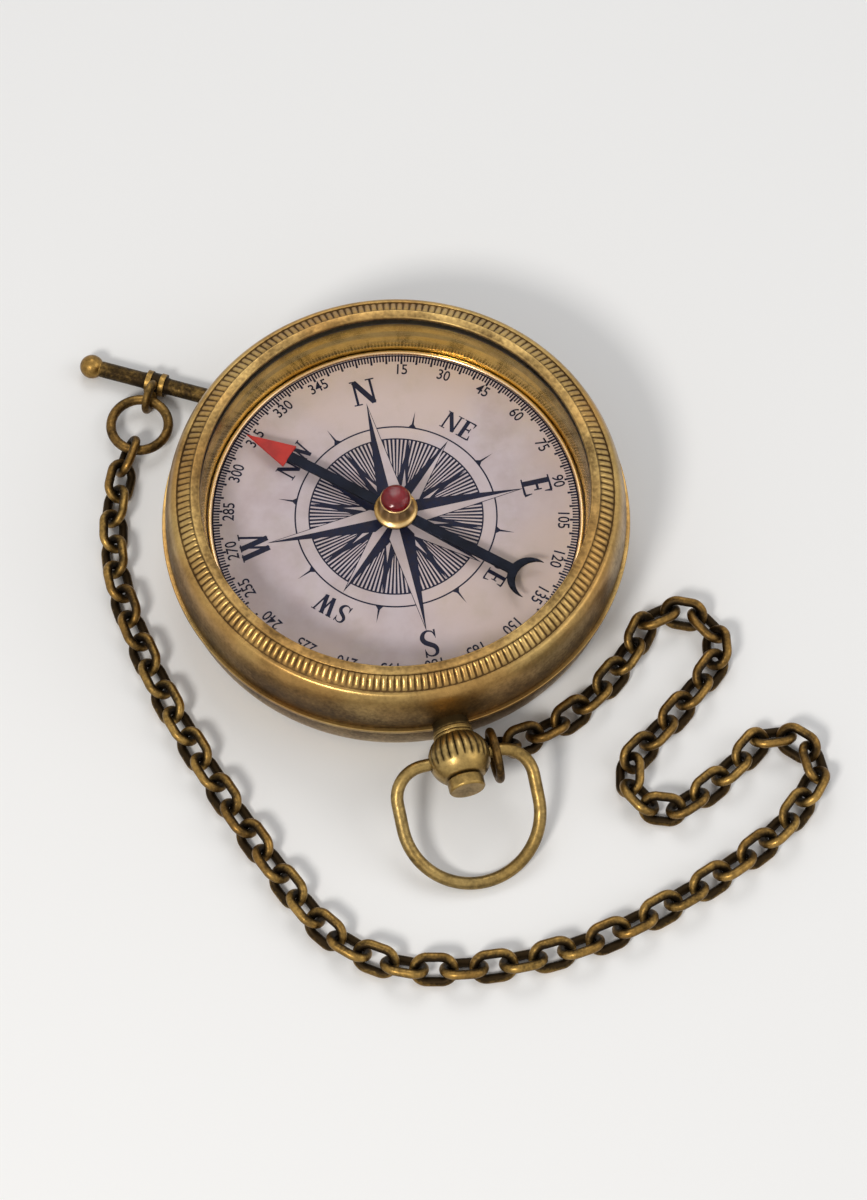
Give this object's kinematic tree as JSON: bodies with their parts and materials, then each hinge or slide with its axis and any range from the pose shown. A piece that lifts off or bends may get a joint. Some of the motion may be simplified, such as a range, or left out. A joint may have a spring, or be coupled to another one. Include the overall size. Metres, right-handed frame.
{
  "type": "pocket compass",
  "caption": "Round brass pocket compass with a printed rose dial, pivoted needle, knurled two-shell case, fluted pendant, swinging bow and an oval-link chain with a T-bar.",
  "frame": {"origin": "middle of the flat back face, on the case axis", "axes": "+Z out of the dial, +Y towards the north of the dial, the pendant and bow point to -Y, +X to the east of the dial"},
  "size_m": [0.0707, 0.0827, 0.0145],
  "materials": {
    "case_brass": "antique brass, polished on the bulge and dark in the knurls",
    "plate_brass": "bright brass with heat-coloured patina and dark filled engraving",
    "bright_brass": "polished",
    "pendant_brass": "antique brass, satin",
    "chain_brass": "dark antique brass with rubbed highlights",
    "crystal_glass": "clear, flat",
    "gasket_rubber": "matt",
    "dial_paper": "matt printed card",
    "steel": "ground",
    "blued_steel": "blued, with a red painted point",
    "jewel_red": "polished",
    "bead_red": "enamel, gloss"
  },
  "bodies": {
    "case": {"mid_case": "case_brass", "front_bezel": "case_brass", "rear_shell": "case_brass", "back_plate": "plate_brass", "crystal": "crystal_glass", "crystal_gasket": "gasket_rubber", "wall_ring": "bright_brass", "foot_ring": "bright_brass", "dial_card": "dial_paper", "dial_plate": "case_brass", "pivot_post": "bright_brass", "pivot_pin": "steel", "pendant_neck": "pendant_brass", "pendant_ball": "pendant_brass", "pendant_cap": "pendant_brass", "chain_ring": "chain_brass", "chain_part_1": "chain_brass", "chain_part_2": "chain_brass", "chain_part_3": "chain_brass", "chain_part_4": "chain_brass", "chain_part_5": "chain_brass", "chain_part_6": "chain_brass", "end_ring": "chain_brass", "t_bar": "chain_brass"},
    "needle": {"needle": "blued_steel", "needle_hub": "bright_brass", "hub_jewel": "jewel_red", "hub_bead": "bead_red"},
    "bow": {"bow": "pendant_brass"}
  },
  "joints": [
    {"name": "needle_spin", "type": "hinge", "parent": "case", "child": "needle", "pos_m": [0, 0, 0.01122], "axis": [0, 0, 1], "continuous": true},
    {"name": "bow_swing", "type": "hinge", "parent": "case", "child": "bow", "pos_m": [0, -0.02895, 0.00725], "axis": [-1, 0, 0], "range_deg": [-58, 155]}
  ]
}
